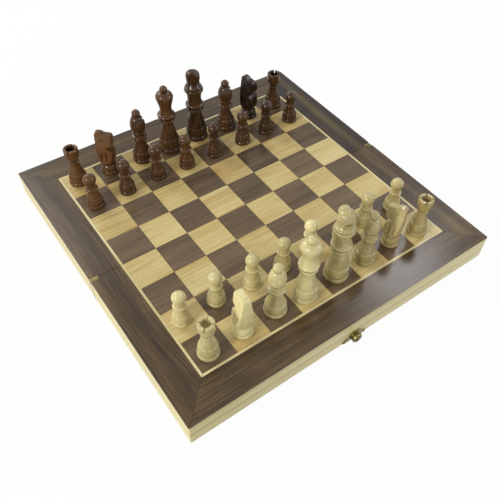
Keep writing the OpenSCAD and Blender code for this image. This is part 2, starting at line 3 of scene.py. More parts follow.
import bpy
import numpy as np
from mathutils import Matrix, Vector


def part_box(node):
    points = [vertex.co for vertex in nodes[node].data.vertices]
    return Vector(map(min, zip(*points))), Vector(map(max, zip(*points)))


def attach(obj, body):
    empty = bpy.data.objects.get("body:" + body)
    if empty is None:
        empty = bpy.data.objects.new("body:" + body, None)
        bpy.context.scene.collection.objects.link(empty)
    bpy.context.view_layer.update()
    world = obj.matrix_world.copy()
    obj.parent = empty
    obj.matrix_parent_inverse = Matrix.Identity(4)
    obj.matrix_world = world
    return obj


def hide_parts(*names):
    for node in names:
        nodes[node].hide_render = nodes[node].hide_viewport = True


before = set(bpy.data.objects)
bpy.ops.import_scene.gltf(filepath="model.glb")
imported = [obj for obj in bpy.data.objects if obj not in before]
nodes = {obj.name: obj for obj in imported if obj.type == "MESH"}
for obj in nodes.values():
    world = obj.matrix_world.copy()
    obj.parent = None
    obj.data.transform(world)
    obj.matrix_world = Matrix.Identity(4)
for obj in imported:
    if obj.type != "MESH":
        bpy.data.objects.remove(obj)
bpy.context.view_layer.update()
print("frame loaded:", len(nodes), "nodes")


# One socket of a node tree that can stand in a sum.
class Wire:
    def __init__(self, finish, socket):
        self.finish, self.socket = finish, socket

    def math(self, operation, first, second=None):
        sockets = {0: first} if second is None else {0: first, 1: second}
        return self.finish.node("Math", {"operation": operation}, sockets)

    def __add__(self, other):
        return self.math("ADD", self, other)

    def __radd__(self, other):
        return self.math("ADD", other, self)

    def __sub__(self, other):
        return self.math("SUBTRACT", self, other)

    def __rsub__(self, other):
        return self.math("SUBTRACT", other, self)

    def __mul__(self, other):
        return self.math("MULTIPLY", self, other)

    def __rmul__(self, other):
        return self.math("MULTIPLY", other, self)

    def __truediv__(self, other):
        return self.math("DIVIDE", self, other)

    def __rtruediv__(self, other):
        return self.math("DIVIDE", other, self)

    def __gt__(self, other):
        return self.math("GREATER_THAN", self, other)

    def __abs__(self):
        return self.math("ABSOLUTE", self)

    def floor(self):
        return self.math("FLOOR", self)

    def fract(self):
        return self.math("FRACT", self)

    def root(self):
        return self.math("SQRT", self)


# The node tree of one material, or of the world.
class Finish:
    def __init__(self, name, world=None):
        self.owner = world or bpy.data.materials.new(name)
        self.owner.use_nodes = True
        self.tree = self.owner.node_tree
        self.tree.nodes.clear()

    # Any node: its type, its settings, then the values or links of its sockets.
    def node(self, kind, settings=None, sockets=None, output=0):
        made = self.tree.nodes.new("ShaderNode" + kind)
        for key, value in (settings or {}).items():
            if key == "stops":
                ramp = made.color_ramp
                while len(ramp.elements) < len(value):
                    ramp.elements.new(0.5)
                for element, (place, colour) in zip(ramp.elements, value):
                    element.position = place
                    element.color = colour
            else:
                setattr(made, key, value)
        for key, value in (sockets or {}).items():
            if isinstance(value, Wire):
                self.tree.links.new(value.socket, made.inputs[key])
            else:
                made.inputs[key].default_value = value
        return Wire(self, made.outputs[output]) if made.outputs else made

    # The place on the object, as one value for each axis.
    def place(self):
        spot = self.node("TexCoord", output="Object")
        return [self.node("SeparateXYZ", None, {0: spot}, k) for k in range(3)]

    def vector(self, x, y, z):
        return self.node("CombineXYZ", None, {0: x, 1: y, 2: z})

    def noise(self, x, y, z, detail=2.0, roughness=0.5):
        sockets = {"Vector": self.vector(x, y, z), "Scale": 1.0, "Detail": detail, "Roughness": roughness}
        return self.node("TexNoise", None, sockets)

    # A value in 0 to 1 that is the same all over one whole-numbered cell.
    def chance(self, x, y, seed):
        return self.node("TexWhiteNoise", {"noise_dimensions": "3D"}, {"Vector": self.vector(x, y, seed)})

    # The value moved from its own span to 0 to 1, and kept inside it.
    def span(self, value, low, high):
        sockets = {0: value, 1: low, 2: high, 3: 0.0, 4: 1.0}
        return self.node("MapRange", {"clamp": True}, sockets)

    # Two colours; a Mix node keeps its colours in sockets 6 and 7 and their mixture in output 2.
    def mix(self, share, first, second, blend="MIX"):
        settings = {"data_type": "RGBA", "blend_type": blend}
        return self.node("Mix", settings, {0: share, 6: first, 7: second}, 2)

    def blend(self, share, first, second):
        return first + share * (second - first)

    def ramp(self, value, stops):
        return self.node("ValToRGB", {"stops": stops}, {0: value})

    def bump(self, height, depth):
        return self.node("Bump", None, {"Height": height, "Distance": depth, "Strength": 1.0})

    # How far a point is into the late wood of its year ring, by its distance from the pith.
    def lateWood(self, radius, look):
        ring = (radius * look["rings"]).fract()
        low, high = look["lateSpan"]
        return self.span(ring, low, high) * (1.0 - self.span(ring, high, 1.0))

    def finish(self, colour, roughness, normal, **plain):
        sockets = {"Base Color": colour, "Roughness": roughness, "Normal": normal}
        sockets.update({key.replace("_", " "): value for key, value in plain.items()})
        shader = self.node("BsdfPrincipled", None, sockets)
        self.node("OutputMaterial", None, {"Surface": shader})
        return self.owner

    # Wood under its lacquer.
    def lacquered(self, colour, roughness, normal, look):
        return self.finish(colour, roughness, normal, Coat_Weight=look["coat"],
                           Coat_Roughness=look["coatRoughness"], Specular_IOR_Level=look["gloss"])


# A colour written as in a paint program, turned to the values that shaders use.
def tone(code):
    raw = np.array([int(code[k:k + 2], 16) for k in (1, 3, 5)]) / 255
    linear = np.where(raw < 0.04045, raw / 12.92, ((raw + 0.055) / 1.055) ** 2.4)
    return (*linear.tolist(), 1.0)


squareSize = 0.03  # metres, and how far apart the men stand

# What the veneers share: their marks as repeats in a metre, and between which values of its
# noise each mark comes up.
veneerGrain = {
    "apart": 3.7, "swayAlong": 5.0, "swayAcross": 16.0, "sway": 0.009, "figureSpan": (0.32, 0.68),
    "streakAlong": 22.0, "streakSpan": (0.34, 0.66), "streakRough": 0.12,
    "poreAlong": 210.0, "poreSpan": (0.62, 0.74), "poreShade": 0.3, "poreRough": 0.12,
    "sapAlong": 2.5, "sapAcross": 42.0, "sapSpan": (0.56, 0.7),
    "relief": 0.00005, "roughness": 0.34, "gloss": 0.1, "coatRoughness": 0.2,
}
walnutLook = {
    "dark": "#4a3b29", "middle": "#66543f", "light": "#7b674e", "spread": 0.14, "farRowsShade": 0.2,
    "figureAlong": 6.0, "figureAcross": 60.0, "streakAcross": 640.0, "poreAcross": 2600.0, "coat": 0.4,
}
borderLook = {
    "dark": "#291d12", "middle": "#4d3c27", "light": "#6d5839", "sap": "#806c43", "sapShare": 0.5,
    "spread": 0.1, "farRightShade": 0.5, "foldBlend": 0.005, "sway": 0.02,
    "figureAlong": 8.0, "figureAcross": 80.0, "streakAcross": 520.0, "poreAcross": 2200.0,
    "relief": 0.00008, "coat": 0.45,
}
mapleLook = {
    "dark": "#b69a60", "middle": "#ccb980", "light": "#dac995", "spread": 0.18, "farRowsShade": 0.22,
    "figureAlong": 7.0, "figureAcross": 50.0, "streakAcross": 560.0, "poreAcross": 1500.0, "coat": 0.4,
}
stringingLook = {
    "dark": "#c6b67e", "middle": "#dccf9f", "light": "#e8deb6", "spread": 0.15,
    "figureAlong": 9.0, "figureAcross": 300.0, "streakAcross": 1400.0, "poreAcross": 2500.0,
    "roughness": 0.36, "coat": 0.2, "gloss": 0.12,
}
pineLook = {
    "early": "#dcd2a2", "late": "#b8a869", "rings": 260.0, "lateSpan": (0.45, 0.95),
    "paintedLightToRight": 1.8,  # how fast painted light makes the rails along the fold paler to the right
    "pithAcross": 0.045, "pithShift": 0.07, "pithBelow": 0.028,
    "wander": 0.006, "wanderAlong": 4.0, "wanderAcross": 12.0,
    "fibreAlong": 30.0, "fibreAcross": 900.0, "cloudAlong": 9.0, "cloudAcross": 40.0,
    "relief": 0.00006, "roughness": 0.42, "coat": 0.1, "coatRoughness": 0.3, "gloss": 0.2,
}
plyLook = {
    "light": "#cfae7b", "dark": "#b58f5c", "shadeSpan": (0.35, 0.65), "fibreAlong": 18.0,
    "fibreAcross": 500.0, "cloudAlong": 5.0, "cloudAcross": 30.0, "relief": 0.00008, "roughness": 0.6,
}
brassLook = {
    "bright": "#8b8254", "dull": "#4e482b", "patches": 260.0, "patchSpan": (0.4, 0.75),
    "scratchAcross": 2400.0, "scratchUp": 400.0, "relief": 0.00001, "roughness": 0.3,
}
# What both woods of the men share, again as repeats in a metre.
turnedGrain = {
    "rings": 1250.0, "lateSpan": (0.2, 0.85), "ringDepth": 0.07, "pithOff": 0.006, "flare": 0.04,
    "wander": 0.0008, "wanderAcross": 60.0, "wanderUp": 30.0,
    "fibreAcross": 700.0, "fibreUp": 45.0, "cloudAcross": 90.0, "cloudUp": 40.0,
    "spread": 0.12, "warmShare": 0.5, "grooveShadeShare": 0.85, "relief": 0.00002,
}
boxwoodLook = {
    "early": "#e9dfa8", "late": "#8c7b45", "warm": "#b08f4c", "groove": "#7d6a33", "middle": 0.42,
    "roughness": 0.34, "coat": 0.6, "coatRoughness": 0.15, "gloss": 0.15,
}
darkLook = {
    "early": "#80572f", "late": "#1a1008", "warm": "#5c371b", "groove": "#130b06", "middle": 0.66,
    "roughness": 0.3, "coat": 0.45, "coatRoughness": 0.1, "gloss": 0.08,
}
# Men paler or darker than the rest, and by how much of the way: partly their blanks' own shade, partly
# painted light and shade.
blankShadesAndLight = {
    "pale": (-0.34, ["white_knight_b1", "white_pawn_e2", "black_rook_a8"]),
    "fair": (-0.17, ["white_queen_d1", "white_pawn_a2", "black_knight_b8", "black_pawn_a7"]),
    "dusky": (0.08, ["black_king_e8", "black_rook_h8", "black_pawn_e7", "black_pawn_g7", "black_pawn_h7"]),
    "dim": (0.15, ["white_king_e1", "white_knight_g1", "black_bishop_f8"]),
    "deep": (0.3, ["white_bishop_f1", "white_rook_h1", "black_knight_g8"]),
}


# Which way the grain runs: along the fold on squares, along each side on a mitred frame. With
# it come two chance values that each square or strip has for itself.
def grainAxes(f, layout):
    x, y = f.place()[:2]
    if layout == "frame":
        side = abs(x) > abs(y)
        along = f.blend(side, x, y)
        across = f.blend(side, y, x)
        return along, across, f.chance(side, across > 0.0, 3.0), f.chance(side, across > 0.0, 8.0)
    column, row = (x / squareSize).floor(), (y / squareSize).floor()
    return x, y, f.chance(column, row, 1.0), f.chance(column, row, 5.0)


# Veneer: broad figure, finer streaks and short pores, all drawn out along the grain, with
# paler sapwood in places, cut from another place in the sheet for every piece. A factor on
# one of the two chance values only takes another slice of the noise.
def veneer(name, own, layout):
    f = Finish(name)
    look = {**veneerGrain, **own}
    along, across, piece, other = grainAxes(f, layout)
    shift = piece * look["apart"]
    sway = f.noise(along * look["swayAlong"] + shift, across * look["swayAcross"], other * 9.0, 1.0) - 0.5
    bent = across + sway * look["sway"]
    figure = f.noise(along * look["figureAlong"] + shift, bent * look["figureAcross"], piece * 31.0)
    streak = f.noise(along * look["streakAlong"] + shift, bent * look["streakAcross"], other * 17.0, 3.0, 0.6)
    pore = f.noise(along * look["poreAlong"], across * look["poreAcross"], other * 5.0, 1.0)
    level = f.span(figure, *look["figureSpan"]) * 0.5 + f.span(streak, *look["streakSpan"]) * 0.5
    level = level + (piece - 0.5) * look["spread"]
    # Painted shade: on the far half the right strip of the border is made darker, eased in across the fold.
    if "farRightShade" in look:
        x, y = f.place()[:2]
        rightStrip = (x > 0.0) * (abs(x) > abs(y))
        level = level - rightStrip * f.span(y, -look["foldBlend"], look["foldBlend"]) * look["farRightShade"]
    # Painted shade: squares lying more than one square beyond the fold are made darker.
    if "farRowsShade" in look:
        level = level - (across > squareSize) * look["farRowsShade"]
    shades = ((0.0, "dark"), (0.5, "middle"), (1.0, "light"))
    colour = f.ramp(level, [(place, tone(look[shade])) for place, shade in shades])
    if "sap" in look:
        band = f.noise(along * look["sapAlong"] + shift, bent * look["sapAcross"], other * 23.0, 1.0)
        colour = f.mix(f.span(band, *look["sapSpan"]) * look["sapShare"], colour, tone(look["sap"]))
    dash = f.span(pore, *look["poreSpan"])
    colour = f.mix(dash * look["poreShade"], colour, tone(look["dark"]), "MULTIPLY")
    rough = look["roughness"] + dash * look["poreRough"] + (streak - 0.5) * look["streakRough"]
    return f.lacquered(colour, rough, f.bump(streak * 0.5 - dash, look["relief"]), look)


# Softwood: year rings round a pith outside the plank, wandering a little on their way along it.
def softwood(name, look, axis):
    f = Finish(name)
    x, y, z = f.place()
    along, across = (x, y) if axis == "x" else (y, x)
    sideOf = across > 0.0
    width = look["wanderAcross"]
    wave = f.noise(along * look["wanderAlong"] + sideOf * 9.0, z * width, across * width) - 0.5
    wander = wave * look["wander"]
    pithAcross = across + look["pithAcross"] - sideOf * look["pithShift"] + wander
    pithUp = z + look["pithBelow"] + wander * 0.6
    late = f.lateWood((pithAcross * pithAcross + pithUp * pithUp).root(), look)
    fibre = f.noise(along * look["fibreAlong"], across * look["fibreAcross"], z * look["fibreAcross"])
    cloud = f.noise(along * look["cloudAlong"], across * look["cloudAcross"], z * look["cloudAcross"])
    level = late * 0.65 + (fibre - 0.5) * 0.5 + (cloud - 0.5) * 0.5
    # Painted light: the rails along the fold grow paler to the right.
    if axis == "x":
        level = level - along * look["paintedLightToRight"]
    colour = f.mix(f.span(level, -0.1, 0.9), tone(look["early"]), tone(look["late"]))
    rough = look["roughness"] + (fibre - 0.5) * 0.15
    return f.lacquered(colour, rough, f.bump(fibre * 0.6 + late * 0.4, look["relief"]), look)


# Turned wood: the year rings of the blank, cut through by the turning, with fibres upright, and every man
# with a shade of its own, partly its blank's and partly painted light and shade, with painted shade in its
# grooves.
def turnedWood(name, own):
    f = Finish(name)
    look = {**turnedGrain, **own}
    x, y, z = f.place()
    column, row = (x / squareSize).floor(), (y / squareSize).floor()
    piece, other, third = [f.chance(column, row, seed) for seed in (2.0, 6.0, 11.0)]
    inX = (x - (column + 0.5) * squareSize) + (piece - 0.5) * look["pithOff"]
    inY = (y - (row + 0.5) * squareSize) + (other - 0.5) * look["pithOff"]
    width = look["wanderAcross"]
    wander = f.noise(x * width, y * width, z * look["wanderUp"] + piece * 9.0) - 0.5
    late = f.lateWood((inX * inX + inY * inY).root() + z * look["flare"] + wander * look["wander"], look)
    fibre = f.noise(x * look["fibreAcross"], y * look["fibreAcross"], z * look["fibreUp"])
    cloud = f.noise(x * look["cloudAcross"] + piece * 5.0, y * look["cloudAcross"], z * look["cloudUp"])
    level = late * look["ringDepth"] + (fibre - 0.5) * 0.4 + (cloud - 0.5) * 0.5
    # Each man's shade: partly its blank's own, partly painted light and shade, and on the knights' flats a
    # painted sheen.
    blank = f.node("Attribute", {"attribute_name": "blank"}, None, "Fac")
    level = level + (piece - 0.5) * look["spread"] + blank + look["middle"]
    colour = f.mix(f.span(level, 0.0, 1.0), tone(look["early"]), tone(look["late"]))
    warmth = f.span(third, 0.45, 1.0) * f.span(cloud, 0.2, 0.8) * look["warmShare"]
    colour = f.mix(warmth, colour, tone(look["warm"]))
    # Painted shade in the grooves and in the hollows of the dark rooks.
    groove = f.node("Attribute", {"attribute_name": "groove"}, None, "Fac")
    colour = f.mix(groove * look["grooveShadeShare"], colour, tone(look["groove"]))
    rough = look["roughness"] + (fibre - 0.5) * 0.1
    return f.lacquered(colour, rough, f.bump(fibre, look["relief"]), look)


# Raw plywood inside the trays.
def plywood(name, look):
    f = Finish(name)
    x, y, z = f.place()
    fibre = f.noise(x * look["fibreAlong"], y * look["fibreAcross"], z * look["fibreAcross"], 3.0, 0.6)
    cloud = f.noise(x * look["cloudAlong"], y * look["cloudAcross"], z * look["cloudAcross"])
    shade = f.span(fibre * 0.6 + cloud * 0.4, *look["shadeSpan"])
    colour = f.mix(shade, tone(look["light"]), tone(look["dark"]))
    return f.finish(colour, look["roughness"] + (fibre - 0.5) * 0.2, f.bump(fibre, look["relief"]))


# Pressed and polished brass, duller in patches.
def brass(name, look):
    f = Finish(name)
    x, y, z = f.place()
    size = look["patches"]
    patch = f.noise(x * size, y * size, z * size, 3.0, 0.6)
    scratch = f.noise(x * look["scratchAcross"], y * look["scratchAcross"], z * look["scratchUp"])
    colour = f.mix(f.span(patch, *look["patchSpan"]), tone(look["bright"]), tone(look["dull"]))
    rough = look["roughness"] + (patch - 0.5) * 0.3 + (scratch - 0.5) * 0.1
    return f.finish(colour, rough, f.bump(scratch, look["relief"]), Metallic=1.0)


finishes = {
    "walnutSquares": veneer("walnut squares", walnutLook, "squares"),
    "walnutBorder": veneer("walnut border", borderLook, "frame"),
    "mapleSquares": veneer("maple squares", mapleLook, "squares"),
    "mapleStringing": veneer("maple stringing", stringingLook, "frame"),
    "pineAcross": softwood("pine along the fold", pineLook, "x"),
    "pineDown": softwood("pine along the sides", pineLook, "y"),
    "plywood": plywood("plywood", plyLook),
    "brass": brass("brass", brassLook),
    "boxwood": turnedWood("lacquered boxwood", boxwoodLook),
    "darkWood": turnedWood("dark stained wood", darkLook),
}
print("finishes made:", len(finishes))


# Which finish a CAD node takes, by the words in its name.
def finishFor(name):
    words = (
        ("dark_squares", "walnutSquares"), ("light_squares", "mapleSquares"),
        ("border", "walnutBorder"), ("stringing", "mapleStringing"),
        ("side_rails", "pineDown"), ("rail", "pineAcross"), ("panel", "plywood"),
        ("white_", "boxwood"), ("black_", "darkWood"),
    )
    return finishes[next((finish for word, finish in words if word in name), "brass")]


for nodeName, piece in nodes.items():
    piece.data.materials.clear()
    piece.data.materials.append(finishFor(nodeName))
print("CAD nodes finished")


# Points of a cubic curve from p to q with the handles a and b, without its first point.
def curve(p, a, b, q, count=16):
    t = np.linspace(0, 1, count + 1)[1:, None]
    p, a, b, q = (np.array(v, float) for v in (p, a, b, q))
    return (1 - t) ** 3 * p + 3 * (1 - t) ** 2 * t * a + 3 * (1 - t) * t ** 2 * b + t ** 3 * q


# The half round rim of a bead of radius r and height h at height z.
def bead(r, z, h):
    a = np.linspace(-math.pi / 2, math.pi / 2, 15)
    return np.column_stack([r - h / 2 + h / 2 * np.cos(a), z + h / 2 * np.sin(a)])


# The rim of a ball from where it meets a neck of radius start up to its pole.
def ball(r, z, start):
    a = np.linspace(-math.acos(start / r), math.pi / 2, 34)
    return np.column_stack([r * np.cos(a), z + r * np.sin(a)])


# The foot of a man of base radius r: a roll, then a groove under the bell.
def foot(r, roll):
    c, v = 0.056 * r, 0.1 * r
    return np.vstack([
        [(0, 0), (r - c, 0), (r, c), (r, roll - 2 * v)],
        curve((r, roll - 2 * v), (r, roll - v), (r - 0.5 * v, roll - 0.2 * v), (r - v, roll)),
        [(r - 1.3 * v, roll + 0.2 * v), (r - 1.3 * v, roll + 0.5 * v)],
    ])


# Profiles as (radius, height) in millimetres, from the middle of the base up to the top.
manShapes = {
    "king": [
        foot(10.5, 4.4), [(9.9, 5.4)], curve((9.9, 5.4), (10.2, 8.6), (9.8, 11.4), (9.3, 13.4)),
        [(8.75, 13.7)], curve((8.75, 13.7), (8.4, 18), (7, 24), (5.5, 30.4)),
        bead(6.8, 31.6, 1.8), [(6, 32.8)], bead(8.1, 34.4, 2.4),
        [(6.9, 35.8), (6.9, 36.6)], bead(8.6, 38.2, 3), [(6.9, 39.8)],
        curve((6.9, 39.8), (6.4, 42), (6.2, 45), (6.5, 48.4)),
        curve((6.5, 48.4), (6.7, 50.6), (7.6, 52.6), (8.6, 53.4)), [(8.8, 54.2), (8.7, 55.4), (8.2, 56.2)],
        bead(7.9, 57.4, 1.8), [(7, 58.4)],
        curve((7, 58.4), (6.6, 59.4), (6, 60.2), (5.4, 60.8)), [(5.9, 61.4), (6, 62.4), (5.6, 62.8)],
        curve((5.6, 62.8), (6.2, 64.6), (6.6, 66.4), (6.4, 69.4)),
        curve((6.4, 69.4), (6.2, 71.6), (5.2, 73.6), (0, 74)),
    ],
    "queen": [
        foot(10.3, 4.1), [(9.7, 5)], curve((9.7, 5), (9.95, 8), (9.5, 11), (9, 13.2)),
        [(8.5, 13.5)], curve((8.5, 13.5), (8.2, 17.4), (6.2, 22.6), (4.9, 30)),
        bead(6.2, 31.4, 1.8), [(5.6, 32.6)],
        bead(7.7, 34.4, 2.4), [(6.2, 35.8), (6.2, 36.6)], bead(8.3, 38.4, 3), [(6.2, 40.2)],
        curve((6.2, 40.2), (5.4, 43), (5.2, 45), (5.6, 47.4)),
        curve((5.6, 47.4), (6.2, 50.6), (7.6, 54.2), (7.9, 56.8)), [(7.9, 58), (7.4, 59.4)],
        curve((7.4, 59.4), (6.8, 60.8), (5, 62.1), (3.2, 62.5)), ball(3.6, 64.4, 3.05),
    ],
    "bishop": [
        foot(9.3, 3.8), [(8.7, 4.7)], curve((8.7, 4.7), (8.9, 7.4), (8.6, 9.6), (7.9, 11.2)),
        [(7.35, 11.5)], curve((7.35, 11.5), (6.7, 14.3), (4.9, 17.6), (4.2, 23)),
        bead(6.1, 24.4, 1.8), [(5.2, 25.4)],
        bead(6.9, 27.1, 2.4), [(4.9, 28.5), (4.8, 31.2)], bead(5.9, 32.3, 1.8), [(5.2, 33.3)],
        curve((5.2, 33.3), (7.7, 36.8), (7, 41.6), (5.6, 45)),
        curve((5.6, 45), (5.1, 46.4), (4.4, 47.4), (3.3, 48.2)), ball(3.8, 50.7, 3),
    ],
    "pawn": [
        foot(7.6, 3), [(7.1, 3.9)], curve((7.1, 3.9), (7.25, 6.4), (6.75, 8.6), (6.15, 10.1)),
        [(5.6, 10.4)], curve((5.6, 10.4), (5.4, 12.2), (4.5, 13.8), (4.1, 15.8)),
        [(4.1, 18)], bead(5.5, 19.3, 2), [(4.4, 20.5)],
        curve((4.4, 20.5), (4, 21.6), (4, 22.6), (4.2, 24.2)), ball(5.5, 29, 3.9),
    ],
    "rook": [
        foot(8.6, 3.8), [(8.05, 4.7)], curve((8.05, 4.7), (8.2, 7.5), (7.45, 10), (7, 12)),
        [(6.45, 12.3)], curve((6.45, 12.3), (6.2, 15.2), (4.4, 19), (3.95, 23.4)),
        bead(4.8, 24.4, 1.4), [(4.1, 25.2)],
        curve((4.1, 25.2), (4.4, 28), (6, 28.6), (6.3, 31.6)),
        [(6.4, 37.9), (5.9, 38.5), (4.1, 38.5), (3.7, 38.1)],
        [(3.6, 33.3), (3, 32.7), (1, 32.7), (0.7, 33.5), (0, 33.8)],
    ],
    "knight": [
        foot(8, 3.2), [(7.4, 4.1)], curve((7.4, 4.1), (7.5, 6.4), (6.8, 8.2), (5.6, 9.6)),
        [(5.5, 10.4), (0, 10.6)],
    ],
}
# In millimetres: the spread of the easing and the step of the walk; sharp is in degrees.
turning = {"ease": 0.12, "step": 0.04, "crowding": 0.05, "rows": 128, "sides": 72, "sharp": 38}


# A profile walked in even steps, its edges eased as sanding and lacquer ease them, and then
# thinned so that points crowd where it bends.
def eased(parts):
    path = np.vstack([np.array(part, float) for part in parts])
    gaps = np.hypot(*np.diff(path, axis=0).T)
    path = path[np.concatenate([[True], gaps > 1e-6])]
    walk = np.concatenate([[0], np.cumsum(np.hypot(*np.diff(path, axis=0).T))])
    step = turning["step"]
    fine = np.arange(0, walk[-1], step)
    line = np.column_stack([np.interp(fine, walk, path[:, k]) for k in (0, 1)])
    width = int(4 * turning["ease"] / step)
    weights = np.exp(-0.5 * (np.arange(-width, width + 1) * step / turning["ease"]) ** 2)
    weights /= weights.sum()
    flip = np.array([[-1, 1]])
    before, after = (line[1:width + 1] * flip)[::-1], (line[-width - 1:-1] * flip)[::-1]
    padded = np.vstack([before, line, after])
    soft = np.column_stack([np.convolve(padded[:, k], weights, "valid") for k in (0, 1)])
    turnBy = np.diff(soft, axis=0)
    heading = np.unwrap(np.arctan2(turnBy[:, 1], turnBy[:, 0]))
    bend = np.abs(np.gradient(heading))
    load = np.concatenate([[0], np.cumsum(step / walk[-1] + bend * turning["crowding"])])
    picks = np.interp(np.linspace(0, load[-1], turning["rows"]), load, np.arange(len(soft)))
    out = np.column_stack([np.interp(picks, np.arange(len(soft)), soft[:, k]) for k in (0, 1)])
    out[0, 0] = out[-1, 0] = 0.0
    out[:, 0] = np.maximum(out[:, 0], 0)
    return out


# Rings of points closed into a skin: grid is rows by columns by 3, and the first and the last
# row are single points on the axis.
def skin(grid):
    rows, columns = grid.shape[:2]
    points = np.vstack([grid[0, :1], grid[1:-1].reshape(-1, 3), grid[-1, :1]])
    ring = np.arange(columns)
    after = np.roll(ring, -1)
    start = 1 + np.arange(rows - 3)[:, None] * columns
    above = start + columns
    quads = np.stack([start + ring, start + after, above + after, above + ring], -1).reshape(-1, 4)
    last = len(points) - 1
    top = 1 + (rows - 3) * columns
    bottomFan = np.stack([np.zeros_like(ring), 1 + after, 1 + ring], -1)
    topFan = np.stack([np.full_like(ring, last), top + ring, top + after], -1)
    return points, quads.tolist() + bottomFan.tolist() + topFan.tolist()


# A turned shape: the profile carried round the upright axis.
def turned(profile):
    angle = np.arange(turning["sides"]) * 2 * math.pi / turning["sides"]
    r, z = profile[:, :1], profile[:, 1:]
    return np.stack([r * np.cos(angle), r * np.sin(angle), z + 0 * angle], -1)


# Millimetres, but outside and least are in halves of a slot's width.
rookCut = {"slotWidth": 1.1, "slotFloor": 34.9, "outside": 1.04, "least": 1.05, "between": 11,
           "solidMiddle": 1.2, "hollowRadius": 3.9, "hollowFloor": 32}


# A rook: turned, but wherever a point lies within half a slot's width of one of the two lines
# across the head, its height is held down to the slot's floor. Columns stand in pairs along
# the slots' straight walls, so the walls are upright.
def rookGrid(profile):
    half, outside = rookCut["slotWidth"] / 2, rookCut["outside"]
    marks = np.array([-outside, -1, -0.5, 0, 0.5, 1, outside])
    r = np.maximum(profile[:, :1], half * rookCut["least"])
    steps = np.linspace(0, 1, rookCut["between"] + 2)[1:-1]
    columns = []
    for k in range(4):
        middle = math.pi / 4 + k * math.pi / 2
        near = middle + np.arcsin(np.clip(marks * half / r, -1, 1))
        fromHere = near[:, -1:]
        toNext = middle + math.pi / 2 - np.arcsin(np.clip(outside * half / r, -1, 1))
        columns += [near, fromHere + (toNext - fromHere) * steps]
    angle = np.hstack(columns)
    inSlot = np.tile(np.concatenate([np.abs(marks) <= 1, np.zeros(rookCut["between"], bool)]), 4)
    z = np.repeat(profile[:, 1:], angle.shape[1], 1)
    cut = inSlot & (profile[:, :1] > rookCut["solidMiddle"])
    z = np.where(cut, np.minimum(z, rookCut["slotFloor"]), z)
    return np.stack([profile[:, :1] * np.cos(angle), profile[:, :1] * np.sin(angle), z], -1)


# A knight's back and front as seen from its side, the radius of its blank and half its
# thickness, each with its height; then how sharp the edges and the creases between round and
# flat are, and the levels of the grid as first, last and count.
knightShape = {
    "back": [(-5.6, 9.8), (-6.6, 12), (-7.2, 15), (-7.4, 20), (-7.3, 27), (-7.2, 33), (-7.2, 39),
             (-7.1, 43), (-6.4, 45), (-5.2, 45.8), (-4, 46)],
    "front": [(5.6, 9.8), (7, 12.6), (8, 15.6), (8.3, 19), (7.8, 23), (6.4, 26.4), (4.2, 28.6),
              (2.2, 29.8), (2.2, 30.8), (4.4, 31.5), (8, 32.6), (8.6, 34.6), (9, 41), (8.4, 42.6),
              (6.8, 43.3), (1.6, 43.8), (0.4, 44.2), (-0.4, 45.4), (-1.2, 45.8), (-2.4, 46), (-4, 46)],
    "blank": [(5.6, 9.8), (7, 11.4), (8.2, 14), (8.9, 18), (9.2, 26), (9.3, 40), (8, 46)],
    "thickness": [(10.5, 9.8), (9.3, 11), (8.6, 12.6), (7.9, 15), (7.1, 18), (6.6, 20), (4.5, 33), (2.4, 46)],
    "edge": 7.0, "crease": 16.0, "columns": 120,
    "levels": [(9.8, 28, 50), (28.2, 33, 40), (33.3, 45.9, 60), (46, 46, 1)],
}


# Limits v to plus or minus the bound with an eased corner: v over the n-th root of
# one plus the n-th power of its share of the bound.
def held(v, bound, n):
    return v / (1 + np.abs(v / bound) ** n) ** (1 / n)


# A knight's head and neck: a turned blank pressed softly inwards to its profile, front and
# back, and to its flat sides, level by level.
def knightGrid():
    levels = np.concatenate([np.linspace(*part) for part in knightShape["levels"]])
    outlines = ("back", "front", "blank", "thickness")
    line = {k: np.interp(levels, *np.array(knightShape[k]).T[::-1]) for k in outlines}
    angle = np.linspace(0, 2 * math.pi, knightShape["columns"], endpoint=False)
    middle = (line["back"] + line["front"])[:, None] / 2
    half = (line["front"] - line["back"])[:, None] / 2
    x = line["blank"][:, None] * np.cos(angle)
    y = line["blank"][:, None] * np.sin(angle)
    x = held(x, line["thickness"][:, None], knightShape["crease"])
    y = middle + held(y - middle, np.maximum(half, 0.01), knightShape["edge"])
    return np.stack([x, y, levels[:, None] + 0 * x], -1)


# A closed box from its lowest and highest corner, for cutting with. A corner's number has one
# bit for each axis, set where it is high.
def block(low, high, turn=None):
    bits = np.arange(8)[:, None] >> np.arange(3) & 1
    corners = np.where(bits, high, low).astype(float)
    faces = [(0, 2, 3, 1), (4, 5, 7, 6), (0, 1, 5, 4), (2, 6, 7, 3), (0, 4, 6, 2), (1, 3, 7, 5)]
    if turn is not None:
        corners = corners @ np.array(turn).T
    return corners, faces


# An object from points in millimetres and their faces.
def meshObject(name, points, faces):
    mesh = bpy.data.meshes.new(name)
    mesh.from_pydata((np.asarray(points) / 1000).tolist(), [], faces)
    mesh.validate()
    made = bpy.data.objects.new(name, mesh)
    bpy.context.scene.collection.objects.link(made)
    return made


# The piece with the cutters taken out of it, or joined on to it, as a plain mesh again.
def carved(piece, cutters, operation="DIFFERENCE"):
    for cutter in cutters:
        step = piece.modifiers.new("cut", "BOOLEAN")
        step.operation, step.solver, step.object = operation, "EXACT", cutter
    bpy.context.view_layer.update()
    ready = piece.evaluated_get(bpy.context.evaluated_depsgraph_get())
    mesh = bpy.data.meshes.new_from_object(ready)
    piece.modifiers.clear()
    piece.data = mesh
    for cutter in cutters:
        bpy.data.objects.remove(cutter)
    return piece


